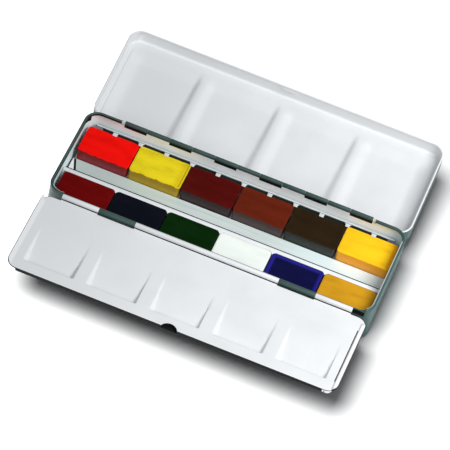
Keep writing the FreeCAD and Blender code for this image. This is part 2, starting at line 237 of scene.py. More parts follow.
class Piece:
    """Points and faces of one object, gathered in millimetres."""

    def __init__(self, place):
        self.place = place
        self.points = []
        self.faces = []
        self.slots = []

    def add(self, corners, faces, slot):
        start = len(self.points)
        self.points.extend(self.place(p) for p in corners)
        self.faces.extend([start + i for i in face] for face in faces)
        self.slots.extend([slot] * len(faces))

    def grid(self, x, y, z, slot):
        nx, ny = x.shape
        faces = [(i * ny + j, (i + 1) * ny + j, (i + 1) * ny + j + 1, i * ny + j + 1)
                 for i in range(nx - 1) for j in range(ny - 1)]
        self.add(points(x, y, z).reshape(-1, 3), faces, slot)

    def rings(self, rings, slots):
        """Bands between closed rings of equally many points."""
        for low, high, slot in zip(rings[:-1], rings[1:], slots):
            self.add(np.concatenate([low, high]), band(len(low)), slot)

    def sheet(self, low, high, slot):
        """Flat sheet between two outlines of matching points."""
        n = len(low)
        self.add([*low, *high], [range(n), range(n, 2 * n), *band(n)], slot)

    def plate(self, outline, z0, z1, slot):
        """Level sheet cut to an outline of (x, y)."""
        self.sheet([(x, y, z0) for x, y in outline], [(x, y, z1) for x, y in outline], slot)

    def barrel(self, x0, x1, y, z, radius, slot):
        """Rolled knuckle along X with softly turned ends and an open bore."""
        turn, bend = BARREL_TURN, BARREL_TURN * 0.3
        end = [(0.0, WIRE_BORE), (0.0, radius - turn), (bend, radius - bend), (turn, radius)]
        stations = [(x0 + along, r) for along, r in end]
        stations += [(x1 - along, r) for along, r in reversed(end)] + stations[:1]
        angles = np.linspace(0, 2 * math.pi, BARREL_SIDES + 1)[:-1]
        rings = [points(x, y + r * np.cos(angles), z + r * np.sin(angles))
                 for x, r in stations]
        self.rings(rings, [slot] * (len(rings) - 1))

    def make(self, name, materials, sharp=SHARP):
        mesh = bpy.data.meshes.new(name)
        mesh.from_pydata([tuple(c * MM for c in p) for p in self.points], [], self.faces)
        mesh.polygons.foreach_set("material_index", self.slots)
        for material in materials:
            mesh.materials.append(material)
        bm = bmesh.new()
        bm.from_mesh(mesh)
        bmesh.ops.remove_doubles(bm, verts=bm.verts, dist=WELD)
        bmesh.ops.dissolve_degenerate(bm, edges=bm.edges, dist=SLIVER)
        bmesh.ops.recalc_face_normals(bm, faces=bm.faces)
        bm.to_mesh(mesh)
        bm.free()
        shade(mesh, sharp)
        return new_object(name, mesh)


def bake_modifiers(obj):
    """Keeps what the modifiers make as the object's own mesh."""
    evaluated = obj.evaluated_get(bpy.context.evaluated_depsgraph_get())
    mesh = bpy.data.meshes.new_from_object(evaluated)
    obj.modifiers.clear()
    obj.data = mesh


def bevel(obj):
    """Rounds the edges of a folded strip."""
    mod = obj.modifiers.new("edges", "BEVEL")
    mod.width = FOLD_BEVEL * MM
    mod.segments = 2
    mod.limit_method = "ANGLE"
    mod.angle_limit = math.radians(SHARP)
    bake_modifiers(obj)
    shade(obj.data)
    return obj


def cut_boxes(obj, boxes, place):
    """Cuts plain boxes, given by their two corners, out of an object."""
    for low, high in boxes:
        cutter = Piece(place)
        cutter.plate(oblong(low[0], high[0], low[1], high[1]), low[2], high[2], 0)
        tool = cutter.make("cutter", [])
        mod = obj.modifiers.new("cut", "BOOLEAN")
        mod.operation = "DIFFERENCE"
        mod.solver = "EXACT"
        mod.object = tool
        bpy.context.view_layer.update()
        bake_modifiers(obj)
        bpy.data.objects.remove(tool)
    shade(obj.data)


def arc(inset, z, radius, start, end, count):
    """Points of a wall's section: how far in from the outline, and how high."""
    turn = np.radians(np.linspace(start, end, count + 1))
    return [(inset - radius * math.cos(a), z + radius * math.sin(a)) for a in turn]


def wall_rings(profile, half_x, half_y, radius, counts, mid_y):
    """Carries a wall's section once round a rounded rectangle."""
    rings = []
    for inset, z in profile:
        x, y = rounded_grid(half_x - inset, half_y - inset, radius - inset, counts)
        rings.append(points(border(x), border(y) + mid_y, z))
    return rings


# ---- materials

NOISE_ROUGHNESS = 0.55
GLOSS_SPREAD = (0.85, 1.2)  # least and most of the asked roughness
COAT_ROUGHNESS = 0.12
SKIN_DEPTH = 0.0001  # metres


def new_material(name):
    material = bpy.data.materials.new(name)
    material.use_nodes = True
    nodes = material.node_tree.nodes
    return material, nodes, material.node_tree.links, nodes["Principled BSDF"]


def put(node, values):
    """Sets some of a node's inputs."""
    for name, value in values.items():
        node.inputs[name].default_value = value
    return node


def mottled(nodes, links, scale, stretch, detail=3.0):
    """Noise in object space, stretched as asked; scale is in features per metre."""
    coord = nodes.new("ShaderNodeTexCoord")
    mapping = put(nodes.new("ShaderNodeMapping"), {"Scale": stretch})
    links.new(coord.outputs["Object"], mapping.inputs["Vector"])
    noise = put(nodes.new("ShaderNodeTexNoise"),
                {"Scale": scale, "Detail": detail, "Roughness": NOISE_ROUGHNESS})
    links.new(mapping.outputs["Vector"], noise.inputs["Vector"])
    return noise


def ramp(nodes, links, source, colours, low=0.3, high=0.7):
    """Colours spread evenly over the source's values from low to high."""
    node = nodes.new("ShaderNodeValToRGB")
    spots = np.linspace(low, high, len(colours))
    elements = node.color_ramp.elements
    while len(elements) < len(colours):
        elements.new(0.5)
    for element, spot, colour in zip(elements, spots, colours):
        element.position = spot
        element.color = (*colour, 1.0)
    links.new(source, node.inputs["Fac"])
    return node


def add_bump(nodes, links, shader, source, strength, distance):
    bump = put(nodes.new("ShaderNodeBump"), {"Strength": strength, "Distance": distance})
    links.new(source, bump.inputs["Height"])
    links.new(bump.outputs["Normal"], shader.inputs["Normal"])


def surface(name, colours, roughness, scale=120.0, stretch=(1, 1, 1), coat=0.0, metallic=0.0,
            bump=0.08, bump_scale=900.0, specular=0.5):
    """Coloured surface with soft mottling, uneven gloss and a fine skin."""
    material, nodes, links, shader = new_material(name)
    tone = mottled(nodes, links, scale, stretch)
    colour = ramp(nodes, links, tone.outputs["Fac"], colours)
    links.new(colour.outputs["Color"], shader.inputs["Base Color"])
    gloss = put(nodes.new("ShaderNodeMapRange"),
                {"To Min": roughness * GLOSS_SPREAD[0],
                 "To Max": min(1.0, roughness * GLOSS_SPREAD[1])})
    links.new(tone.outputs["Fac"], gloss.inputs["Value"])
    links.new(gloss.outputs["Result"], shader.inputs["Roughness"])
    put(shader, {"Coat Weight": coat, "Coat Roughness": COAT_ROUGHNESS, "Metallic": metallic,
                 "Specular IOR Level": specular})
    skin = mottled(nodes, links, bump_scale, stretch, detail=2.0)
    add_bump(nodes, links, shader, skin.outputs["Fac"], bump, SKIN_DEPTH)
    return material


def spread(nodes, links, source, start, end):
    """Turns the source's values between start and end into a share."""
    share = put(nodes.new("ShaderNodeMapRange"), {"From Min": start, "From Max": end})
    links.new(source, share.inputs["Value"])
    return share


def way_along(nodes, links, axis, start, end):
    """Share of the way between two places along an axis."""
    coord = nodes.new("ShaderNodeTexCoord")
    axes = nodes.new("ShaderNodeSeparateXYZ")
    links.new(coord.outputs["Object"], axes.inputs["Vector"])
    return spread(nodes, links, axes.outputs[axis], start * MM, end * MM)


def mix_colours(nodes, links, shader, own, share, colour):
    """Gives the shader its own colour, with another one coming in by its share."""
    mix = nodes.new("ShaderNodeMix")
    mix.data_type = "RGBA"
    links.new(share.outputs["Result"], mix.inputs[0])
    links.new(own, mix.inputs[6])
    mix.inputs[7].default_value = (*colour, 1.0)
    links.new(mix.outputs[2], shader.inputs["Base Color"])


def blend_in(material, axis, start, end, colour):
    """Turns the surface's own colour into another one between two places along an axis."""
    nodes, links = material.node_tree.nodes, material.node_tree.links
    shader = nodes["Principled BSDF"]
    own = shader.inputs["Base Color"].links[0].from_socket
    share = way_along(nodes, links, axis, start, end)
    share.interpolation_type = "SMOOTHSTEP"
    mix_colours(nodes, links, shader, own, share, colour)


def make_paint(name, colour, variation):
    """Poured watercolour, drawn across in faint strokes."""
    dark = tuple(c * (1 - variation) for c in colour)
    light = tuple(min(1.0, c * (1 + variation * 0.5) + 0.001) for c in colour)
    return surface(name, (dark, colour, light), 0.40, scale=200.0, stretch=(0.35, 1.0, 1.0),
                   bump=0.2, bump_scale=420.0, specular=0.06)


WALL_WANDER = 0.5  # how far clouds shift the wall's colours up and down
RUN_WANDER = 0.4  # how ragged the paint's lower edge is
RUN_EDGE = (1.125, 1.155)  # height of that edge, in pan heights with its wander


def wandering(nodes, links, noise, share, height):
    """Height with a share of the noise on top."""
    node = nodes.new("ShaderNodeMath")
    node.operation = "MULTIPLY_ADD"
    node.inputs[1].default_value = share
    links.new(noise.outputs["Fac"], node.inputs[0])
    links.new(height.outputs["Result"], node.inputs[2])
    return node


def make_pan_plastic(name, paint, wall_top, wall_bottom):
    """Thin white plastic with the paint showing through, and paint run over its top edge."""
    material, nodes, links, shader = new_material(name)
    height = way_along(nodes, links, "Z", PAN_BOTTOM, PAN_TOP)
    clouds = mottled(nodes, links, 160.0, (1.0, 1.0, 0.8))
    shifted = wandering(nodes, links, clouds, WALL_WANDER, height)
    body = ramp(nodes, links, shifted.outputs["Value"], (wall_bottom, wall_top), 0.25, 1.15)
    runs = mottled(nodes, links, 260.0, (1.0, 1.0, 0.25), detail=2.0)
    edge = wandering(nodes, links, runs, RUN_WANDER, height)
    over_edge = spread(nodes, links, edge.outputs["Value"], *RUN_EDGE)
    mix_colours(nodes, links, shader, body.outputs["Color"], over_edge, paint)
    put(shader, {"Roughness": 0.32, "Specular IOR Level": 0.2})
    add_bump(nodes, links, shader, clouds.outputs["Fac"], 0.15, 2 * SKIN_DEPTH)
    return material


lacquer = surface("lacquer", ((0.036, 0.070, 0.064), (0.045, 0.083, 0.077), (0.056, 0.098, 0.092)),
                  0.34, scale=60.0, specular=0.25)
# near black: the flap's dark lacquer underneath, and painted shade in creases, slits, gaps and
# below rims and knuckles
dark_lacquer_and_painted_shade = surface("black_lacquer_and_painted_shade", ((0.004, 0.006, 0.0055), (0.008, 0.011, 0.010)), 0.5,
                       scale=60.0, specular=0.1)
enamel = surface("enamel", ((0.715, 0.73, 0.74), (0.745, 0.76, 0.77), (0.77, 0.785, 0.795)), 0.42,
                 scale=45.0, coat=0.15, bump=0.05, bump_scale=700.0)
# the same white enamel inside the base, painted lighter and bluer-green against the shade and the
# warm light bounced from the paints
enamel_painted_lighter_inside = surface("enamel_painted_lighter_inside", ((0.79, 0.855, 0.855), (0.83, 0.885, 0.885)), 0.42,
                       scale=45.0, coat=0.1, bump=0.05, bump_scale=700.0)
rail_white = surface("rail_white", ((0.77, 0.79, 0.80), (0.83, 0.85, 0.86)), 0.45, scale=80.0,
                     coat=0.1)
# the rails' white paint in a darker copy: painted shade on the outer rails
rail_white_painted_shade = surface("rail_white_painted_shade", ((0.60, 0.63, 0.64), (0.65, 0.68, 0.69)), 0.45, scale=80.0,
                    coat=0.1)
tin = surface("bare_tin", ((0.60, 0.70, 0.675), (0.71, 0.80, 0.775), (0.79, 0.865, 0.845)), 0.42,
              scale=700.0, stretch=(0.03, 1.0, 1.0), metallic=0.1, bump=0.25)
steel = surface("wire_steel", ((0.40, 0.40, 0.39), (0.62, 0.62, 0.61)), 0.3, scale=900.0,
                stretch=(0.05, 1, 1), metallic=1.0, bump=0.2)

PAINTS = {
    "bright_red": (0.93, 0.004, 0.002),
    "lemon_yellow": (0.80, 0.64, 0.014),
    "crimson": (0.080, 0.003, 0.002),
    "rust": (0.122, 0.014, 0.004),
    "dark_brown": (0.022, 0.012, 0.004),
    "golden_yellow": (0.98, 0.565, 0.012),
    "dark_red": (0.14, 0.001, 0.001),
    "blue_black": (0.003, 0.004, 0.009),
    "dark_green": (0.001, 0.017, 0.001),
    "white": (0.84, 0.89, 0.84),
    "ultramarine": (0.004, 0.004, 0.043),
    "ochre": (0.595, 0.295, 0.012),
}
# Colours of the pan walls, at the top and at the bottom: the paint seen through the plastic,
# painted darker than the paint itself as shade on the walls
WALLS = {
    "bright_red": ((0.22, 0.004, 0.005), (0.37, 0.055, 0.07)),
    "lemon_yellow": ((0.42, 0.25, 0.006), (0.64, 0.44, 0.03)),
    "crimson": ((0.027, 0.010, 0.010), (0.058, 0.040, 0.040)),
    "rust": ((0.06, 0.032, 0.028), (0.12, 0.095, 0.095)),
    "dark_brown": ((0.016, 0.018, 0.013), (0.044, 0.056, 0.048)),
    "golden_yellow": ((0.98, 0.38, 0.010), (0.98, 0.43, 0.07)),
}
# A second colour that takes over: the axis, where it starts and is full, and the colour
PAINT_BLENDS = {
    "ultramarine": ("Z", PAN_TOP - 0.45, PAN_TOP + 0.02, (0.014, 0.014, 0.21)),
    "golden_yellow": ("X", 87.6, 90.4, (0.98, 0.36, 0.006)),
    "lemon_yellow": ("X", -36.5, -30.3, (0.60, 0.42, 0.008)),
}
# Painted light and shade, and tints against light bounced from the paints, each with its material
# first
SURFACE_BLENDS = (
    # painted shade and light on the bare strip: darker to the left, lighter from the middle on,
    # darker and bluer at the right end
    (tin, "X", 10.0, -100.0, (0.53, 0.64, 0.61)),
    (tin, "X", 20.0, 55.0, (0.81, 0.94, 0.95)),
    (tin, "X", 72.0, 93.0, (0.66, 0.79, 0.84)),
    # painted light on the inside of the base's rear wall
    (enamel_painted_lighter_inside, "Y", BASE_Y + 30.4, BASE_Y + 31.3, (0.92, 0.96, 0.96)),
    # painted tint, lighter and cyan, against the red light bounced from the red pan at the left
    # end
    (enamel_painted_lighter_inside, "X", -60.0, -80.0, (0.80, 0.95, 0.96)),
    # painted shade, and a blue tint against the yellow light bounced from the golden pan, at the
    # right end
    (enamel_painted_lighter_inside, "X", 76.0, 92.0, (0.46, 0.66, 0.85)),
    # painted shade: the enamel of lid and flap darker towards the left
    (enamel, "X", 0.0, -80.0, (0.705, 0.722, 0.733)),
    # painted light on the lid's far wall
    (enamel, "Y", 92.0, 93.2, (0.815, 0.833, 0.842)),
    # painted light: the lacquer lighter and greener at the right end
    (lacquer, "X", 85.0, 92.0, (0.040, 0.095, 0.091)),
)
VARIATION = 0.16  # of a paint's colour, along its strokes
WHITE_VARIATION = 0.05

paints = {}
for paint_name, paint_colour in PAINTS.items():
    variation = WHITE_VARIATION if paint_name == "white" else VARIATION
    paints[paint_name] = make_paint("paint_" + paint_name, paint_colour, variation)
for paint_name, blend in PAINT_BLENDS.items():
    blend_in(paints[paint_name], *blend)
for blend in SURFACE_BLENDS:
    blend_in(*blend)
pan_plastics = {}
for paint_name, paint_colour in PAINTS.items():
    top, bottom = WALLS.get(paint_name, (paint_colour, tuple(c * 0.5 + 0.2 for c in paint_colour)))
    pan_plastics[paint_name] = make_pan_plastic("pan_" + paint_name, paint_colour, top, bottom)


# ---- base tray

# SHADE is the near-black slot, for dark lacquer and for painted shade; INNER is the enamel painted
# lighter inside the base
LACQUER, ENAMEL, SHADE, INNER = 0, 1, 2, 3
BOX_MATERIALS = [lacquer, enamel, dark_lacquer_and_painted_shade, enamel_painted_lighter_inside]
REAR_SPLITS = np.linspace(-REAR_HALF, REAR_HALF, REAR_KNUCKLES + 1)


def knuckle_spans(splits, first):
    """Ends of every second knuckle along a hinge, from the first or second one on."""
    pairs = list(zip(splits[:-1], splits[1:]))[first::2]
    return [(a + KNUCKLE_GAP / 2, b - KNUCKLE_GAP / 2) for a, b in pairs]


RIM_R = 0.95  # rolled rim: its radius, and where its middle is
RIM_INSET = 0.75
RIM_MID_Z = 24.05
RIM_ARC = (-60, 230, 24)  # degrees from and to, and its steps
RIM_START_Z = 23.0
RIM_END_Z = RIM_START_Z + 0.1
RIM_INNER = 10  # steps of the rim that are enamelled like the inside
RIM_FOOT_Z = 23.2  # at the rear corners the rim's inner side is painted dark above here, as shade
RIM_CREST_Z = 24.8  # at the left it is painted in lacquer above here, and near-black painted shade below
LIP_SHADE_Z = 19.0  # at the left end the inside is painted shade from the rim down to here
LIP_REACH = 2.4  # and so far in from the end
CUT_REACH = 3.0  # the cutters' reach to both sides of the wall, and their top
CUT_TOP = 27.0
REAR_CUT = REAR_HALF + 1.7  # half length of the rim left out for the rear hinge
REAR_CUT_Z = 22.3
FRONT_CUT = FRONT_SPLITS[-1] + 0.3
FRONT_SLOT_END = 89.6  # the front rim stays cut away up to here at the right
FRONT_SLOT_Z = 23.575
FRONT_SHADE = 2.4  # painted shade: a near-black plate in the slot, for the shadow inside it, reaches down this far below the slot
# painted shade in the front wall below each leaf, this deep
LEAF_SHADE = 2.0
REAR_SHADE_Z = 20.7  # foot of the near-black strips below the rear knuckles, painted shade
REAR_SHADE_DROP = 0.7  # and their top below the axis
PROUD = 0.05  # a painted-shade strip stands this far out of its wall
# Unrolled end of the rim beside the rear hinge: how far past the knuckles, and how high
RIM_END = ((0.3, 22.0), (2.0, 22.0), (2.0, 24.85), (0.9, 24.7), (0.3, 23.0))


def darken_rim(base):
    """Paints shade on the rim's inner side at the left end and both rear corners: lacquer colour
    over the rim, near black below it at the left.
    """
    for face in base.data.polygons:
        x, y, z = (c / MM for c in face.center)
        at_left = z > LIP_SHADE_Z and x < -HALF_LENGTH + LIP_REACH
        at_rear = y > BASE_Y + HALF_WIDTH - CORNER_R and abs(x) > REAR_CUT and z > RIM_FOOT_Z
        if (at_left or at_rear) and face.material_index in (ENAMEL, INNER):
            face.material_index = LACQUER if z > RIM_CREST_Z or x > 0 else SHADE


def make_base():
    outside = arc(BOTTOM_R, BOTTOM_R, BOTTOM_R, -90, 0, CORNER_STEPS)
    bead = arc(RIM_INSET, RIM_MID_Z, RIM_R, *RIM_ARC)
    inside = [(SHEET, RIM_END_Z), (SHEET, LIP_SHADE_Z)]
    inside += arc(BOTTOM_R, BOTTOM_R, BOTTOM_R - SHEET, 0, -90, CORNER_STEPS)
    profile = outside + [(0.0, RIM_START_Z)] + bead + inside
    slots = [LACQUER] * (len(outside) + len(bead) - RIM_INNER)
    slots += [ENAMEL] * RIM_INNER + [INNER] * len(inside)
    piece = Piece(in_base)
    piece.rings(wall_rings(profile, HALF_LENGTH, HALF_WIDTH, CORNER_R, BASE_COUNTS, 0.0), slots)
    for z, slot in ((0.0, LACQUER), (SHEET, INNER)):
        x, y = rounded_grid(HALF_LENGTH - BOTTOM_R, HALF_WIDTH - BOTTOM_R, CORNER_R - BOTTOM_R,
                            BASE_COUNTS)
        piece.grid(x, y, z, slot)
    base = piece.make("base", BOX_MATERIALS)
    rear_slot = ((-REAR_CUT, HALF_WIDTH - CUT_REACH, REAR_CUT_Z),
                 (REAR_CUT, HALF_WIDTH + CUT_REACH, CUT_TOP))
    front_slot = ((-FRONT_CUT, -HALF_WIDTH - CUT_REACH, FRONT_SLOT_Z),
                  (FRONT_SLOT_END, -HALF_WIDTH + CUT_REACH, CUT_TOP))
    cut_boxes(base, [rear_slot, front_slot], in_base)
    darken_rim(base)
    return base


def add_rim_ends(piece):
    """Unrolled ends of the rim's sheet, slanting up beside the rear hinge."""
    middle = HALF_WIDTH - SHEET / 2
    for side in (-1, 1):
        outline = [(side * (REAR_HALF + past), z) for past, z in RIM_END]
        for y0, y1, slot in ((HALF_WIDTH - SHEET, middle, INNER), (middle, HALF_WIDTH, LACQUER)):
            piece.sheet([(x, y0, z) for x, z in outline], [(x, y1, z) for x, z in outline], slot)


def add_rear_knuckles(piece):
    for x0, x1 in knuckle_spans(REAR_SPLITS, 0):
        piece.barrel(x0, x1, HALF_WIDTH + REAR_AXIS_PROUD, REAR_AXIS_Z, REAR_BARREL_R, LACQUER)
        # painted shade: a near-black strip below each knuckle
        strip = oblong(x0, x1, HALF_WIDTH - SHEET - PROUD, HALF_WIDTH)
        piece.plate(strip, REAR_SHADE_Z, REAR_AXIS_Z - REAR_SHADE_DROP, SHADE)


def add_front_knuckles(piece):
    """Knuckles on their leaves with painted shade below each leaf, and a near-black plate beside
    the hinge's right end, painted shade for the shadow in the slot there.
    """
    inner_y = -HALF_WIDTH + SHEET
    axis_y = -HALF_WIDTH - FRONT_AXIS_PROUD
    leaf_z = FRONT_AXIS_Z - FRONT_BARREL_R
    dark_plate = oblong(FRONT_SPLITS[-1], FRONT_SLOT_END, -HALF_WIDTH - PROUD, inner_y)
    piece.plate(dark_plate, FRONT_SLOT_Z - FRONT_SHADE, FRONT_SLOT_Z, SHADE)
    for x0, x1 in knuckle_spans(FRONT_SPLITS, 1):
        piece.barrel(x0, x1, axis_y, FRONT_AXIS_Z, FRONT_BARREL_R, LACQUER)
        piece.plate(oblong(x0, x1, axis_y, inner_y), leaf_z, leaf_z + SHEET, LACQUER)
        piece.plate(oblong(x0, x1, -HALF_WIDTH, inner_y), leaf_z - LEAF_SHADE, leaf_z, SHADE)


def make_base_knuckles():
    piece = Piece(in_base)
    add_rear_knuckles(piece)
    add_rim_ends(piece)
    add_front_knuckles(piece)
    return piece.make("base_knuckles", BOX_MATERIALS)


# ---- lid

LID_BORDER = 2.1  # border and ridges above the wells' floors
LID_FOOT = 1.2  # radius at the foot of the walls
LID_FOLD = 0.45  # dip along the foot of the left wall
FOLD_MIDDLE = 1.1  # in from the wall's foot
FOLD_SPREAD = 0.55
# Each flank of a well: its top, in from the well's share of the lid, and its run
OUTER_LEFT, INNER_LEFT = (2.0, 9.0), (1.2, 7.0)
OUTER_RIGHT, INNER_RIGHT = (2.5, 9.0), (0.8, 2.2)
FLANK_GROWTH = 0.065  # an inner right flank runs out further towards the hinge
NEAR_FLANK = (2.2, 4.0)  # from the hinge
FAR_FLANK = (58.8, 10.0)
FOLD_END = (59.5, 5.0)  # where the dip ends, and over what length


def lid_floor(x, u):
    """Height of the pressed border and ridges above the floors of the mixing wells."""
    half = HALF_LENGTH - SHEET
    pitch = 2 * half / LID_WELLS
    low = np.zeros_like(x)
    for i in range(LID_WELLS):
        start = -half + i * pitch
        right_top, right_run = OUTER_RIGHT
        if i < LID_WELLS - 1:
            right_top, right_run = INNER_RIGHT
            right_run = right_run + (FAR_FLANK[0] - u) * FLANK_GROWTH
        left = after(x - start, OUTER_LEFT if i == 0 else INNER_LEFT)
        right = before(x, (start + pitch - right_top, right_run))
        low = np.maximum(low, left * right)
    low = low * before(u, FAR_FLANK) * after(u, NEAR_FLANK)
    from_wall = half - LID_FOOT - np.abs(x)
    fold = np.exp(-((from_wall - FOLD_MIDDLE) / FOLD_SPREAD) ** 2) * (x < 0)
    return LID_BORDER * (1 - low) - LID_FOLD * (fold * before(u, FOLD_END))


CATCH_RINGS = (1.3, 2.4, 3.1, 3.8, 4.9)  # below the rim, on the inner side of the wall
CATCH_HALF = 5.2
CATCH_PRESS = 0.75
CATCH_SLOPE = 0.9  # of the dimple's depth, lost from its middle to its sides
CATCH_ENDS = 1.6  # the larger, the steeper its two ends


def press_catch(rings, mid_u):
    """Presses the catch's long dimple inwards, in the middle of the far wall."""
    for ring in rings:
        drop = LID_TOP - ring[0, 2]
        inner = ring[:, 1].max() - mid_u < HALF_WIDTH - SHEET / 2
        if inner and CATCH_RINGS[0] < drop < CATCH_RINGS[-1]:
            off = abs(drop - CATCH_RINGS[2]) / (CATCH_RINGS[2] - CATCH_RINGS[0])
            share = 1 - off * CATCH_SLOPE
            near = np.clip(CATCH_ENDS * (1 - (ring[:, 0] / CATCH_HALF) ** 2), 0, 1)
            ring[:, 1] -= np.where(ring[:, 1] > mid_u, CATCH_PRESS * share * near, 0.0)


HEM_R = 0.52
HEM_ARC = (-40, 215, 16)
HEM_LACQUER = 4  # steps of the hem that are lacquered like the outside
UNDER_DEPTH = 0.9  # the outside is this much flatter than the wells
UNDER_RUN = (2.0, 6.0)  # and only from here in from its edge, over this length
HEM_START = 1.25  # below the wall's rim, outside
LEAF_TOP = -0.7  # knuckles' leaves on the near wall, below the axis
LEAF_REACH = 1.0  # and down past the wall's rim


def lid_section(bottom):
    """Section of the lid's wall from its outer foot over the hem to its inner foot."""
    outside = [(i, z + bottom) for i, z in arc(BOTTOM_R, BOTTOM_R, BOTTOM_R, -90, 0, CORNER_STEPS)]
    outside += [(0.0, LID_TOP - HEM_START)]
    hem = arc(HEM_R, LID_TOP - HEM_R, HEM_R, *HEM_ARC)
    inside = [(SHEET, LID_TOP - drop) for drop in CATCH_RINGS]
    inside += arc(SHEET + LID_FOOT, bottom + SHEET + LID_BORDER + LID_FOOT, LID_FOOT, 0, -90,
                  CORNER_STEPS)
    slots = [LACQUER] * (len(outside) - 1 + HEM_LACQUER)
    slots += [ENAMEL] * (len(hem) + len(inside) - HEM_LACQUER)
    return outside + hem + inside, slots


def make_lid():
    mid_u = LID_NEAR + HALF_WIDTH
    bottom = LID_TOP - LID_DEPTH
    profile, slots = lid_section(bottom)
    piece = Piece(in_lid)
    rings = wall_rings(profile, HALF_LENGTH, HALF_WIDTH, CORNER_R, LID_COUNTS, mid_u)
    press_catch(rings, mid_u)
    piece.rings(rings, slots)
    for inset, level, slot in ((BOTTOM_R, bottom, LACQUER),
                               (SHEET + LID_FOOT, bottom + SHEET, ENAMEL)):
        x, y = rounded_grid(HALF_LENGTH - inset, HALF_WIDTH - inset, CORNER_R - inset, LID_COUNTS)
        u = y + mid_u
        height = lid_floor(x, u)
        if slot == LACQUER:
            from_edge = np.minimum(HALF_LENGTH - inset - np.abs(x), HALF_WIDTH - inset - np.abs(y))
            height = (height - UNDER_DEPTH).clip(0) * after(from_edge, UNDER_RUN)
        piece.grid(x, u, level + height, slot)
    for x0, x1 in knuckle_spans(REAR_SPLITS, 1):
        piece.barrel(x0, x1, 0.0, 0.0, REAR_BARREL_R, LACQUER)
        leaf = oblong(x0, x1, LID_NEAR, LID_NEAR + SHEET)
        piece.plate(leaf, LID_TOP - LEAF_REACH, LEAF_TOP, LACQUER)
    return piece.make("lid", BOX_MATERIALS, sharp=PRESSED_SHARP)


# ---- palette flap

FLAP_HALF_Y = (FLAP_REAR - FLAP_FRONT) / 2
FLAP_MID_Y = (FLAP_REAR + FLAP_FRONT) / 2
FLAP_WELLS = 5
WELL_BACK = 22.0  # from the hinge to a well's shallow end, and its length
WELL_LENGTH = 27.4
WELL_DEPTH = 2.8
WELL_CURVE = 1.6  # the larger, the later the floor falls
WELL_LEFT, WELL_RIGHT, WELL_FRONT = 1.5, 1.9, 1.8  # steepness of its sides
HEM_HEIGHT = 1.0
HEM_BACK = (5.0, 2.0)  # where the hems start, from the hinge, and over what length
HEM_FRONT = (-FLAP_FRONT + 0.5, 2.5)  # where they end, and over what length
LEFT_HEM = (0.5, 2.9)  # from the side: where the hem is full height, and its foot
RIGHT_HEM = (2.1, 2.8)
RIGHT_FALL = 0.35  # the right hem turns down to its outer edge
CREASE = (2.75, 3.2)  # painted shade: near-black line in the fold at the right hem's foot, in from the side
CREASE_REACH = (11.0, 49.5)  # and from the hinge
WHITE_LIP_X = 86.2  # the front edge's lip is white from here round the right corner
LIP_TOP = 0.3  # and from here down
EDGE_INSET = 0.5  # width of the turned edge, and how far down it goes
EDGE_DROP = 0.25
EDGE_BEND = 0.06  # drop where its dark part starts
EDGE_SHADE = 0.32  # outer part of it that is near black
EDGE_FOOT = -0.38  # where no lip is turned down
UNDER_INSET = 0.8
NOTCH_WIDTH = 9.0
NOTCH_DEPTH = 3.2
NOTCH_REACH = 7.0  # how far in the face's lines are drawn back by the notch
NOTCH_LINES = 41
NOTCH_SPAN = 5.0  # they reach this far to both sides
NOTCH_SHADE = (4.4, 0.1, 4.0, 0.4)  # dark plate in it: half width, front, back, thickness
# Tip of the left hem beside the hinge: in from the side, and ahead of the hinge
HEM_TIP = ((0.0, 11.0), (2.3, 11.0), (1.9, 6.2), (1.1, 3.6), (0.5, 3.3), (0.0, 5.0))
HEM_TIP_FOOT = -0.4
HEM_TIP_TOP = (0.95, 0.35)  # at the side, and at its inner end
LIP_HALF = HALF_LENGTH - FLAP_CORNER_R
LIP_DROP = 2.0
LIP_MARGIN = 0.1
UPRIGHT = 0.3  # a face is upright if its normal rises less than this
CORNER_LIP_END = 91.7  # round the right corner the lip ends short of the closed lid's rim
CORNER_LIP_FADE = 2.2
# Leaf behind a knuckle, in two strips: from and to across, how high, and its colour; the second
# strip is near-black painted shade in the crease behind the plate
FLAP_LEAVES = ((FLAP_REAR - 1.0, -1.8, -0.02, ENAMEL), (-1.8, -0.6, -0.3, SHADE))
LEAF_FOOT = 0.02 - FLAP_SHEET


def flap_face(x, y):
    """Height of the flap's upper face: sloping wells, and raised hems at both sides."""
    ahead = -y
    run = np.clip((ahead - WELL_BACK) / WELL_LENGTH, 0.0, 1.0)
    slope = WELL_DEPTH * run ** WELL_CURVE
    front = (WELL_BACK + WELL_LENGTH - ahead) * WELL_FRONT
    depth = np.zeros_like(x)
    for i in range(FLAP_WELLS):
        mid = (i - (FLAP_WELLS - 1) / 2) * FLAP_WELL_PITCH
        left = (x - (mid - FLAP_WELL_HALF)) * WELL_LEFT
        right = (mid + FLAP_WELL_HALF - x) * WELL_RIGHT
        walls = np.minimum(np.minimum(left, right), front)
        depth = np.maximum(depth, np.clip(np.minimum(slope, walls), 0.0, None))
    return np.where(np.abs(x) > HALF_LENGTH - RIGHT_HEM[1], hem_height(x, ahead), -depth)


def hem_height(x, ahead):
    """Raised hems of both sides: a slope at the left, a step that turns down at the right."""
    from_side = HALF_LENGTH - np.abs(x)
    crest, foot = LEFT_HEM
    left = np.clip((foot - from_side) / (foot - crest), 0, 1)
    crest, foot = RIGHT_HEM
    right = smooth((foot - from_side) / (foot - crest))
    right = right - RIGHT_FALL * np.clip((crest - from_side) / crest, 0, 1)
    along = after(ahead, HEM_BACK) * before(ahead, HEM_FRONT)
    return HEM_HEIGHT * np.where(x < 0, left, right) * along


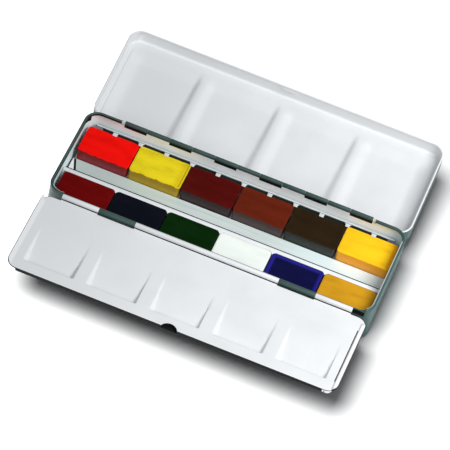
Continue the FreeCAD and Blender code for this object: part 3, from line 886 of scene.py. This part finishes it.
def notched(x, y):
    """Draws the front edge back round the half-moon thumb notch."""
    radius = (NOTCH_WIDTH ** 2 / 4 + NOTCH_DEPTH ** 2) / (2 * NOTCH_DEPTH)
    bite = np.sqrt(np.clip(radius ** 2 - x ** 2, 0, None)) + NOTCH_DEPTH - radius
    bite = np.where(np.abs(x) < NOTCH_WIDTH / 2, np.clip(bite, 0, None), 0.0)
    share = np.clip(1 - (y - FLAP_FRONT) / NOTCH_REACH, 0, 1)
    return y + bite * share


def flap_outline(inset):
    """Grid over the flap's plan, set in from its edge, with its notch."""
    lines = np.concatenate([np.linspace(-NOTCH_SPAN, NOTCH_SPAN, NOTCH_LINES),
                            (-NOTCH_WIDTH / 2, NOTCH_WIDTH / 2)])
    x, y = rounded_grid(HALF_LENGTH - inset, FLAP_HALF_Y - inset, FLAP_CORNER_R - inset,
                        FLAP_COUNTS, extra_x=lines)
    return x, notched(x, y + FLAP_MID_Y)


def shade_flap(flap):
    """Paints shade into the fold beside the right hem, and whitens the lip round the right corner.
    """
    hinge_y, hinge_z = axis_of("flap_hinge")
    for face in flap.data.polygons:
        x, y, z = (c / MM for c in face.center)
        from_side, ahead = HALF_LENGTH - x, hinge_y - y
        in_fold = CREASE[0] < from_side < CREASE[1] and CREASE_REACH[0] < ahead < CREASE_REACH[1]
        if in_fold and face.normal.z > UPRIGHT and face.material_index == ENAMEL:
            face.material_index = SHADE
        at_lip = x > WHITE_LIP_X and ahead > -FLAP_FRONT - FLAP_CORNER_R
        if at_lip and abs(face.normal.z) < UPRIGHT and z < hinge_z - FLAP_FACE_DROP - LIP_TOP:
            face.material_index = ENAMEL


def edge_foot(x, y):
    """Height of the edge's foot: a lip turned down along the front and round its right corner."""
    at_front = (y < FLAP_FRONT + NOTCH_DEPTH + LIP_MARGIN) & (np.abs(x) < LIP_HALF)
    at_corner = (y < FLAP_FRONT + FLAP_CORNER_R) & (x > LIP_HALF)
    turned_down = np.where(at_corner, smooth((CORNER_LIP_END - x) / CORNER_LIP_FADE), at_front)
    return EDGE_FOOT - (LIP_DROP + EDGE_FOOT) * turned_down


def add_flap_sheet(piece):
    """Upper face, underside, and the edge between them."""
    x, y = flap_outline(EDGE_INSET)
    top = flap_face(x, y)
    piece.grid(x, y, top, ENAMEL)
    low_x, low_y = flap_outline(UNDER_INSET)
    low = np.minimum(flap_face(low_x, low_y), 0.0) - FLAP_SHEET
    piece.grid(low_x, low_y, low, SHADE)
    edge_top = border(top)
    in_x, in_y = border(x), border(y)
    outer_x, outer_y = (border(g) for g in flap_outline(0.0))
    under_x, under_y = border(low_x), border(low_y)
    foot = edge_foot(outer_x, outer_y)
    share = 1 - EDGE_SHADE / EDGE_INSET
    bend_x, bend_y = in_x + (outer_x - in_x) * share, in_y + (outer_y - in_y) * share
    rings = [(in_x, in_y, edge_top),
             (bend_x, bend_y, edge_top - EDGE_BEND),
             (outer_x, outer_y, edge_top - EDGE_DROP),
             (outer_x, outer_y, foot),
             (under_x, under_y, np.minimum(foot, -FLAP_SHEET)),
             (under_x, under_y, border(low))]
    piece.rings([points(*ring) for ring in rings], [ENAMEL, SHADE, SHADE, SHADE, SHADE])


def add_hem_tip(piece):
    outline = [(inset - HALF_LENGTH, -ahead) for inset, ahead in HEM_TIP]
    high, low = HEM_TIP_TOP
    width = max(inset for inset, _ in HEM_TIP)
    top = [(x, y, high - (high - low) * (x + HALF_LENGTH) / width) for x, y in outline]
    piece.sheet([(x, y, HEM_TIP_FOOT) for x, y in outline], top, ENAMEL)


def make_flap():
    piece = Piece(in_flap)
    add_flap_sheet(piece)
    half, front, back, thickness = NOTCH_SHADE
    dark_plate = oblong(-half, half, FLAP_FRONT + front, FLAP_FRONT + back)
    piece.plate(dark_plate, -LIP_DROP, thickness - LIP_DROP, SHADE)
    add_hem_tip(piece)
    for x0, x1 in knuckle_spans(FRONT_SPLITS, 0):
        piece.barrel(x0, x1, 0.0, FLAP_FACE_DROP, FRONT_BARREL_R, ENAMEL)
        for y0, y1, level, slot in FLAP_LEAVES:
            piece.plate(oblong(x0, x1, y0, y1), LEAF_FOOT, level, slot)
    flap = piece.make("flap", BOX_MATERIALS, sharp=PRESSED_SHARP)
    shade_flap(flap)
    return flap


# ---- holder

# Unlike the CAD model's, the rails' thin tabs reach over the pans' rims
RAIL_EDGE_Y = 29.45
TAB_TIP_Y = 26.8
RAIL_SHEET = 0.26
RAIL_INWARD = -0.5  # a face looks to the pans if its normal falls below this, and below the flange it gets painted shade
RAIL_LAP = 0.15  # from a rail's top down to its wall
MID_TAB = (2.6, 0.3)  # tabs at a pan's middle and between two pans: the tip's width,
JOINT_TAB = (2.4, 1.3)  # and how far the root flares to each side
TAB_CHAMFER = 0.3
HOLDER_FOLD = 0.5  # thickness of the holder's folded walls
# From a tab's root to its tip: share of the flare, and how far along
TAB_SIDE = ((1.0, 0.0), (0.35, 0.2), (0.0, 0.5), (0.0, 0.88))


def tab_outline(x, width, flare):
    """Spring tab that stands out of the rail's edge."""
    half = width / 2
    down = TAB_TIP_Y - RAIL_EDGE_Y
    right = [(half + flare * share, RAIL_EDGE_Y + down * along) for share, along in TAB_SIDE]
    right.append((half - TAB_CHAMFER, TAB_TIP_Y))
    return [(x - dx, y) for dx, y in right] + [(x + dx, y) for dx, y in reversed(right)]


def make_outer_rail(name, side):
    """Flange with its spring tabs, and the wall folded down from it, painted dark as shade on its
    side to the pans.
    """
    corner_x, corner_y = RAIL_HALF - RAIL_CHAMFER, RAIL_OUTER_Y - RAIL_CHAMFER
    outline = [(-corner_x, RAIL_OUTER_Y), (-RAIL_HALF, corner_y), (-RAIL_HALF, RAIL_EDGE_Y)]
    count = 2 * len(REAR_PAINTS) - 1
    for i in range(count):
        x = (i - (count - 1) / 2) * PAN_PITCH / 2
        outline += tab_outline(x, *(MID_TAB if i % 2 == 0 else JOINT_TAB))
    outline += [(RAIL_HALF, RAIL_EDGE_Y), (RAIL_HALF, corner_y), (corner_x, RAIL_OUTER_Y)]
    wall = oblong(-RAIL_WALL_HALF, RAIL_WALL_HALF, RAIL_OUTER_Y - HOLDER_FOLD, RAIL_OUTER_Y)
    piece = Piece(in_base)
    piece.plate([(side * x, side * y) for x, y in outline], RAIL_TOP - RAIL_SHEET, RAIL_TOP, 0)
    piece.plate([(side * x, side * y) for x, y in wall], PAN_BOTTOM, RAIL_TOP - RAIL_LAP, 0)
    rail = bevel(piece.make(name, [rail_white_painted_shade, lacquer]))
    # painted shade: the wall's faces to the pans, below the flange, get the dark lacquer
    for face in rail.data.polygons:
        if side * face.normal.y < RAIL_INWARD and face.center.z < (RAIL_TOP - RAIL_SHEET) * MM:
            face.material_index = 1
    return rail


MIDDLE_FOLD_DROP = 0.1
MIDDLE_FOLD = 0.7  # folded edge along the middle rail's back, near black as painted shade for the gap behind it
# Right side of a tooth, from its root to its tip: across, and out from the edge
TOOTH_SIDE = ((1.7, 0.0), (0.5, 1.1))
TOOTH_LENGTH = 1.9


def make_middle_rail():
    """Folded strip behind the front row, with a tooth between each two pans."""
    fold_y = MIDDLE_BACK_Y - MIDDLE_FOLD
    outline = [(-HOLDER_HALF, fold_y), (-HOLDER_HALF, MIDDLE_EDGE_Y)]
    count = len(FRONT_PAINTS) - 1
    for i in range(count):
        x = (i - (count - 1) / 2) * PAN_PITCH
        outline += [(x - across, MIDDLE_EDGE_Y - out) for across, out in TOOTH_SIDE]
        outline += [(x, MIDDLE_EDGE_Y - TOOTH_LENGTH)]
        outline += [(x + across, MIDDLE_EDGE_Y - out) for across, out in reversed(TOOTH_SIDE)]
    outline += [(HOLDER_HALF, MIDDLE_EDGE_Y), (HOLDER_HALF, fold_y)]
    piece = Piece(in_base)
    foot = MIDDLE_TOP - HOLDER_FOLD
    piece.plate(outline, foot, MIDDLE_TOP, 0)
    wall = oblong(-HOLDER_HALF, HOLDER_HALF, fold_y, MIDDLE_BACK_Y)
    # painted shade: the back strip along the rail's top is near black
    piece.plate(wall, foot, MIDDLE_TOP - MIDDLE_FOLD_DROP, 1)
    piece.plate(wall, CHANNEL_TOP - HOLDER_FOLD, foot, 0)
    return bevel(piece.make("middle_rail_strip", [rail_white, dark_lacquer_and_painted_shade]))


SLIT_BACK_X = -89.9  # slanted slit beside the strip's left end, at its two edges
SLIT_FRONT_X = -84.9
SLIT = 1.3
SLIT_LAP = 0.2  # the near-black plate under the slit, painted shade for the dark in it, reaches this far under both sides
SLIT_FLOOR = 0.42
STRIP_BACK_Y = 8.5
STRIP_GAP = 0.02
STRIP_DISH = 0.18
DISH_FLATNESS = 6  # the larger, the flatter its middle
STRIP_COUNTS = (60, 24)


def make_channel():
    """Bare strip between the rows, very slightly dished, with a slanted left end, and painted
    shade in the slit beside it.
    """
    y0, y1 = MIDDLE_BACK_Y + STRIP_GAP, STRIP_BACK_Y
    foot = CHANNEL_TOP - HOLDER_FOLD
    run, across = np.meshgrid(*(np.linspace(0, 1, n) for n in STRIP_COUNTS), indexing="ij")
    y = y0 + (y1 - y0) * across
    left = SLIT_FRONT_X + (SLIT_BACK_X - SLIT_FRONT_X) * across
    x = left + (HOLDER_HALF - left) * run
    top = CHANNEL_TOP - STRIP_DISH + STRIP_DISH * np.abs(2 * across - 1) ** DISH_FLATNESS
    piece = Piece(in_base)
    piece.grid(x, y, top, 0)
    piece.grid(x, y, foot, 0)
    piece.rings([points(border(x), border(y), z) for z in (border(top), foot)], [0])
    gusset = [(-HOLDER_HALF, y0), (SLIT_FRONT_X - SLIT, y0), (SLIT_BACK_X - SLIT, y1),
              (-HOLDER_HALF, y1)]
    piece.plate(gusset, foot, CHANNEL_TOP, 1)
    slit_painted_shade = [(SLIT_FRONT_X - SLIT - SLIT_LAP, y0), (SLIT_FRONT_X + SLIT_LAP, y0),
            (SLIT_BACK_X + SLIT_LAP, y1), (SLIT_BACK_X - SLIT - SLIT_LAP, y1)]
    piece.plate(slit_painted_shade, foot, CHANNEL_TOP - SLIT_FLOOR, 2)
    return piece.make("channel_strip", [tin, rail_white, dark_lacquer_and_painted_shade])


# ---- pans

PAN_DRAFT = 0.3  # a pan's foot is this much smaller all round
PAN_FLOOR = 7.3
# Section of a pan's wall from its foot over the rim to its floor: how far in, and how high
PAN_SECTION = ((PAN_DRAFT + 0.4, PAN_BOTTOM), (PAN_DRAFT + 0.1, PAN_BOTTOM + 0.12),
               (PAN_DRAFT, PAN_BOTTOM + 0.45), (0.03, PAN_TOP - 1.0), (0.0, PAN_TOP - 0.3),
               (0.12, PAN_TOP - 0.03), (0.3, PAN_TOP), (0.55, PAN_TOP), (0.75, PAN_TOP - 0.1),
               (0.8, PAN_TOP - 0.4), (0.8 + PAN_DRAFT, PAN_FLOOR + 0.4),
               (1.3 + PAN_DRAFT, PAN_FLOOR))


def corner_radius(y):
    return REAR_PAN_R if y > 0 else FRONT_PAN_R


def make_pan(name, x, y, material):
    """Thin-walled tapering pan with a rounded rim."""
    radius = corner_radius(y) + PAN_DRAFT
    piece = Piece(in_base)
    rings = wall_rings(PAN_SECTION, PAN_HALF_X, PAN_HALF_Y, radius, PAN_COUNTS, y)
    for ring in rings:
        ring[:, 0] += x
    piece.rings(rings, [0] * (len(rings) - 1))
    for inset, z in (PAN_SECTION[0], PAN_SECTION[-1]):
        gx, gy = rounded_grid(PAN_HALF_X - inset, PAN_HALF_Y - inset, radius - inset, PAN_COUNTS)
        piece.grid(gx + x, gy + y, z, 0)
    return piece.make(name, [material])


def ripple(x, y, seed):
    """Low, slow unevenness of a poured surface, between about -1 and 1."""
    return (np.sin(x * 0.55 + seed) * np.cos(y * 0.8 - seed * 1.7)
            + 0.5 * np.sin(x * 1.3 + y * 0.9 + seed * 2.3)) / 1.5


GROOVED = ("lemon_yellow", "golden_yellow")
SKIN_RISE = 0.16  # of the poured paint above the pan's rim, over SKIN_RUN
SKIN_RUN = 0.7
SKIN_LAP = 0.02
RIPPLE = 0.015
RIPPLE_RUN = 1.5
WOBBLE = 0.006  # share by which its outline wanders, how finely, and how far in
WOBBLE_SCALE = 1.4
WOBBLE_RUN = 2.0
SUNKEN = 0.55  # how far the ultramarine has sunk, from where in, and over what length
SUNKEN_RUN = (1.0, 1.6)
GROOVE_DEPTH = 0.5
GROOVE_MIDDLE = 1.15  # in from the side
GROOVE_SPREAD = 0.22
GROOVE_BAND = 2.0  # only along the far and the right side
CAKE_INSET = 0.22
CAKE_FLOOR = 7.4
CAKE_LEAST_R = 0.2
SEED_STEP = 1.9
# Sides of a poured block below its skin: further in, and how high
CAKE_STEPS = ((0.62, PAN_TOP - 0.05), (0.7, PAN_TOP - 0.4), (1.0, CAKE_FLOOR))


def skin_height(x, y, edge, seed, paint):
    """Height of the poured skin above the pan's rim; edge is the distance in from its side."""
    height = SKIN_RISE * smooth(edge / SKIN_RUN)
    height = height + RIPPLE * ripple(x, y, seed) * smooth(edge / RIPPLE_RUN)
    if paint == "ultramarine":
        height = height - SUNKEN * after(edge, SUNKEN_RUN)
    if paint in GROOVED:
        far = (PAN_HALF_Y - np.abs(y) < GROOVE_BAND) & (y > 0)
        right = (PAN_HALF_X - np.abs(x) < GROOVE_BAND) & (x > 0)
        groove = np.exp(-((edge - GROOVE_MIDDLE) / GROOVE_SPREAD) ** 2)
        height = height - np.where(far | right, GROOVE_DEPTH * groove, 0.0)
    return height


def make_cake(paint, x, y, seed):
    """Poured paint: a block that fills the pan, its skin drawn out over the rim."""
    radius = corner_radius(y)
    half_x, half_y = PAN_HALF_X - CAKE_INSET, PAN_HALF_Y - CAKE_INSET
    gx, gy = rounded_grid(half_x, half_y, radius - CAKE_INSET, CAKE_COUNTS)
    edge = np.minimum(half_x - np.abs(gx), half_y - np.abs(gy))
    wander = ripple(gx * WOBBLE_SCALE, gy * WOBBLE_SCALE, seed + 4)
    wobble = 1 + WOBBLE * wander * smooth(1 - edge / WOBBLE_RUN)
    top = PAN_TOP - SKIN_LAP + skin_height(gx, gy, edge, seed, paint)
    piece = Piece(in_base)
    piece.grid(gx * wobble + x, gy * wobble + y, top, 0)
    rings = [points(border(gx * wobble) + x, border(gy * wobble) + y, border(top))]
    for deeper, z in CAKE_STEPS:
        corner = max(radius - CAKE_INSET - deeper, CAKE_LEAST_R)
        ix, iy = rounded_grid(half_x - deeper, half_y - deeper, corner, CAKE_COUNTS)
        rings.append(points(border(ix) + x, border(iy) + y, z))
    piece.rings(rings, [0] * len(CAKE_STEPS))
    piece.grid(ix + x, iy + y, CAKE_FLOOR, 0)
    return piece.make("poured_" + paint, [paints[paint]])


# ---- assembly

def stand_for(obj, body, slot, *nodes):
    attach(obj, body)
    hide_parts(*nodes)


def assemble():
    stand_for(make_base(), "box_base", "box_enamel", "base_tray")
    stand_for(make_base_knuckles(), "box_base", "box_enamel", "base_tray")
    stand_for(make_lid(), "lid", "box_enamel", "lid_shell")
    stand_for(make_flap(), "flap", "box_enamel", "palette_flap")
    stand_for(make_outer_rail("rear_rail_strip", 1), "pan_holder", "holder_paint", "back_rail")
    stand_for(make_outer_rail("front_rail_strip", -1), "pan_holder", "holder_paint", "front_rail")
    stand_for(make_middle_rail(), "pan_holder", "holder_paint", "middle_rail")
    stand_for(make_channel(), "pan_holder", "bare_tin", "channel_floor")
    for row_y, row in ((ROW_MID_Y, REAR_PAINTS), (-ROW_MID_Y, FRONT_PAINTS)):
        for i, paint in enumerate(row):
            x = (i - (len(row) - 1) / 2) * PAN_PITCH
            body = "pan_body_" + paint
            pan = make_pan("pan_shell_" + paint, x, row_y, pan_plastics[paint])
            stand_for(pan, body, "pan_plastic", "pan_" + paint)
            cake = make_cake(paint, x, row_y, i * SEED_STEP + row_y)
            stand_for(cake, body, "paint_" + paint, "cake_" + paint)
    for node, material in (("rear_hinge_wire", steel), ("front_hinge_wire", steel),
                           ("holder_tray", rail_white)):
        mesh = frame["nodes"][node].data
        mesh.materials.clear()
        mesh.materials.append(material)


assemble()


# ---- stage, light and camera

FLOOR_REACH = 3.0  # metres from here on


def make_floor():
    floor_mat, nodes, links, shader = new_material("studio_floor")
    clouds = mottled(nodes, links, 3.0, (1, 1, 1))
    tone = ramp(nodes, links, clouds.outputs["Fac"], ((0.60, 0.60, 0.60), (0.62, 0.62, 0.62)))
    links.new(tone.outputs["Color"], shader.inputs["Base Color"])
    put(shader, {"Roughness": 0.9})
    mesh = bpy.data.meshes.new("floor")
    outline = oblong(-FLOOR_REACH, FLOOR_REACH, -FLOOR_REACH, FLOOR_REACH)
    mesh.from_pydata([(x, y, 0) for x, y in outline], [], [(0, 1, 2, 3)])
    mesh.materials.append(floor_mat)
    floor = new_object("floor", mesh)
    return floor


def aim(obj, azimuth, elevation, distance, target, roll=0.0):
    """Puts obj at a distance from the target, looking there; azimuth 0 is the front."""
    a, e = math.radians(azimuth), math.radians(elevation)
    back = Vector((math.sin(a) * math.cos(e), -math.cos(a) * math.cos(e), math.sin(e)))
    right = Vector((0, 0, 1)).cross(back).normalized()
    up = back.cross(right)
    turn = math.radians(roll)
    rolled_right = right * math.cos(turn) + up * math.sin(turn)
    rolled_up = up * math.cos(turn) - right * math.sin(turn)
    axes = Matrix((rolled_right, rolled_up, back)).transposed().to_4x4()
    obj.matrix_world = Matrix.Translation(target + back * distance) @ axes


# Soft boxes: azimuth, elevation, distance, size, power, and what each one shines on
LIGHTS = {
    "floor_key": (-40, 66.5, 1.2, 0.95, 41.0, "lit_floor"),
    "front_key": (-2, 42, 1.2, 0.8, 3.3, "lit_box"),
    "right_key": (78, 52, 0.5, 0.3, 2.15, "lit_box"),
}
LIGHT_TARGET = Vector((0, 0, 0.02))
SKY = (0.93, 0.96, 1.0, 1.0)
SKY_STRENGTH = 0.3
SENSOR = 36.0  # millimetres, as the lens
LENS = 311.6
CAMERA_TARGET = Vector((0.00012, -0.00425, 0.013))
CAMERA_AZIMUTH, CAMERA_ELEVATION, CAMERA_ROLL = 9.67, 48.786, 14.085
CAMERA_DISTANCE = 2.0982


def make_light(name, azimuth, elevation, distance, size, power, lit):
    """Round soft box aimed at the box; lit is the collection it shines on."""
    data = bpy.data.lights.new(name, "AREA")
    data.shape = "DISK"
    data.size = size
    data.energy = power
    light = new_object(name, data)
    aim(light, azimuth, elevation, distance, LIGHT_TARGET)
    light.light_linking.receiver_collection = lit


def light_scene(floor):
    lit = {name: bpy.data.collections.new(name) for name in ("lit_floor", "lit_box")}
    for obj in bpy.context.scene.objects:
        if obj.type == "MESH":
            lit["lit_floor" if obj == floor else "lit_box"].objects.link(obj)
    for name, (*settings, receivers) in LIGHTS.items():
        make_light(name, *settings, lit[receivers])
    world = bpy.data.worlds.new("studio")
    world.use_nodes = True
    put(world.node_tree.nodes["Background"], {"Color": SKY, "Strength": SKY_STRENGTH})
    bpy.context.scene.world = world
    bpy.context.scene.view_settings.view_transform = "Standard"


def make_camera():
    data = bpy.data.cameras.new("camera")
    data.sensor_width = SENSOR
    data.lens = LENS
    data.clip_end = 20.0
    camera = new_object("camera", data)
    aim(camera, CAMERA_AZIMUTH, CAMERA_ELEVATION, CAMERA_DISTANCE, CAMERA_TARGET, roll=CAMERA_ROLL)
    bpy.context.scene.camera = camera


light_scene(make_floor())
make_camera()
